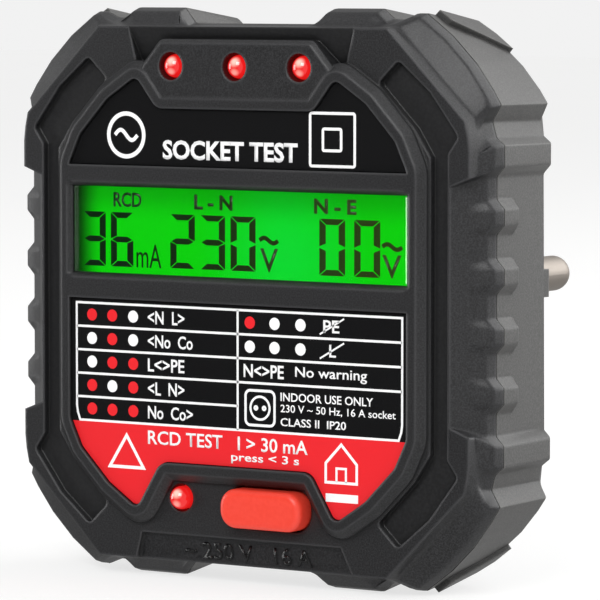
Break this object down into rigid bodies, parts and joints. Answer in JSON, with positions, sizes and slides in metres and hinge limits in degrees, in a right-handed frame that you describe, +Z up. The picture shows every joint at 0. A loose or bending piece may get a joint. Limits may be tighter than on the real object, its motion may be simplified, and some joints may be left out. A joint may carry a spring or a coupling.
{
  "type": "outlet tester plug",
  "caption": "Plug-in outlet tester with a backlit display, fault-code panel, signal lamps, a test button and a round two-pin plug with side earth contacts.",
  "frame": {"origin": "middle of the plug body's end face that meets the socket, halfway between the two pins", "axes": "+Y out along the pins into the wall, +Z up, +X right seen from the front"},
  "size_m": [0.0724, 0.0672, 0.0732],
  "materials": {
    "shell_abs": "charcoal moulded ABS with a fine spark-eroded texture",
    "label_film": "black printed polyester film, smooth",
    "label_white": "white screen print",
    "label_red": "red screen print",
    "clear_window": "clear polished acrylic",
    "lcd_green": "backlit green display",
    "light_guide": "milky acrylic",
    "inner_plastic": "white moulded ABS",
    "contact_rubber": "layered silicone rubber",
    "lamp_red": "red epoxy lens",
    "tinned_wire": "tinned wire",
    "button_red": "coral-red moulded plastic",
    "board_fr4": "green solder mask on glass-epoxy board",
    "chip_epoxy": "black moulded epoxy",
    "capacitor_yellow": "yellow moulded case",
    "capacitor_sleeve": "dark shrink sleeve",
    "varistor_blue": "blue dipped epoxy",
    "resistor_enamel": "grey-blue enamel",
    "pin_nickel": "nickel-plated brass, satin",
    "contact_brass": "nickel-plated spring brass",
    "lead_brown": "brown PVC insulation",
    "lead_blue": "blue PVC insulation",
    "lead_green_yellow": "green and yellow PVC insulation",
    "screw_steel": "zinc-plated steel"
  },
  "bodies": {
    "case": {"front_shell": "shell_abs", "rear_shell": "shell_abs", "upper_label": "label_film", "lower_label": "label_film", "lcd_window": "clear_window", "lcd_cell": "lcd_green", "lcd_light_guide": "light_guide", "lcd_frame": "inner_plastic", "elastomer_strips": "contact_rubber", "led_left": "lamp_red", "led_centre": "lamp_red", "led_right": "lamp_red", "led_test": "lamp_red", "led_leads": "tinned_wire", "switch_body": "chip_epoxy", "main_board": "board_fr4", "controller_chip": "chip_epoxy", "film_capacitor": "capacitor_yellow", "electrolytic_capacitor": "capacitor_sleeve", "varistor": "varistor_blue", "power_resistors": "resistor_enamel", "bridge_rectifier": "chip_epoxy", "triac": "chip_epoxy", "pin_line": "pin_nickel", "pin_neutral": "pin_nickel", "pin_retainer": "inner_plastic", "earth_contact": "contact_brass", "lead_line": "lead_brown", "lead_neutral": "lead_blue", "lead_earth": "lead_green_yellow", "shell_screws": "screw_steel", "retainer_screws": "screw_steel", "board_screws": "screw_steel"},
    "button": {"test_button": "button_red", "switch_plunger": "inner_plastic"}
  },
  "joints": [
    {"name": "button_press", "type": "slide", "parent": "case", "child": "button", "axis": [0, 1, 0], "range_m": [0, 0.0006], "stiffness_N_per_m": 1500, "springref_m": -0.0006}
  ]
}
